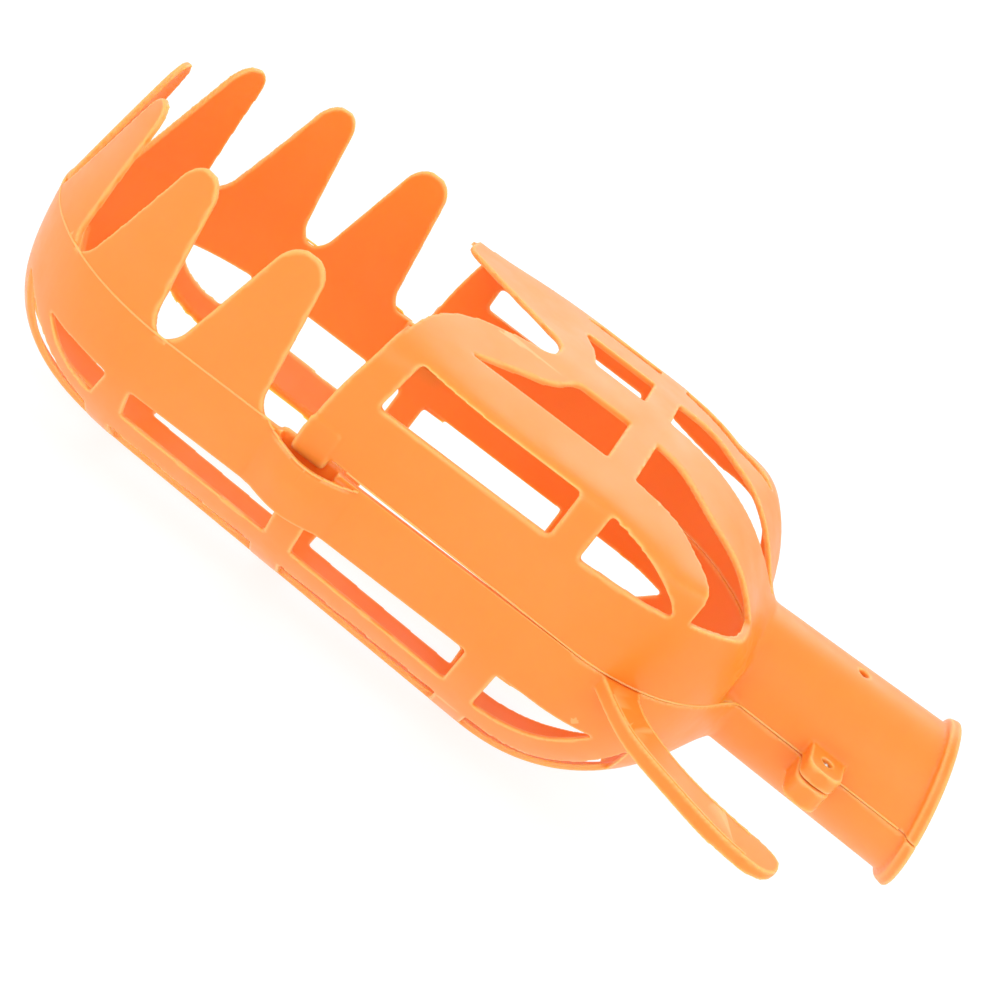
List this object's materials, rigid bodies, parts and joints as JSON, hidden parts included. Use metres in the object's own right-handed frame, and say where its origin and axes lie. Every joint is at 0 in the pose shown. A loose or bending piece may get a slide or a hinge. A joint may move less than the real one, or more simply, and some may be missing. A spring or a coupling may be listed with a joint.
{
  "type": "fruit picker head",
  "caption": "Two-part plastic fruit picker basket with a toothed nose, lattice cage, side hook and a split socket for a pole.",
  "frame": {"origin": "centre of the pole socket's mouth, on the pole's axis", "axes": "+X runs back along the pole, out of the socket's mouth; +Z is the side of the cage, where the mouth of the basket opens; -Y is the side with the branch hook"},
  "size_m": [0.3341, 0.1574, 0.1169],
  "materials": {
    "orange_plastic": "satin injection-moulded polypropylene, slightly translucent",
    "screw_steel": "zinc-plated self-tapping screw"
  },
  "bodies": {
    "basket": {"lower_basket": "orange_plastic"},
    "cage": {"upper_cage": "orange_plastic"},
    "screw_near": {"clamp_screw_near": "screw_steel"},
    "screw_far": {"clamp_screw_far": "screw_steel"}
  },
  "joints": [
    {"name": "cage_hinge", "type": "hinge", "parent": "basket", "child": "cage", "pos_m": [-0.21, 0, -0.003], "axis": [0, -1, 0], "range_deg": [0, 25]},
    {"name": "screw_near_slide", "type": "slide", "parent": "basket", "child": "screw_near", "axis": [0, 0, -1], "range_m": [0, 0.012]},
    {"name": "screw_far_slide", "type": "slide", "parent": "basket", "child": "screw_far", "axis": [0, 0, -1], "range_m": [0, 0.012]}
  ]
}
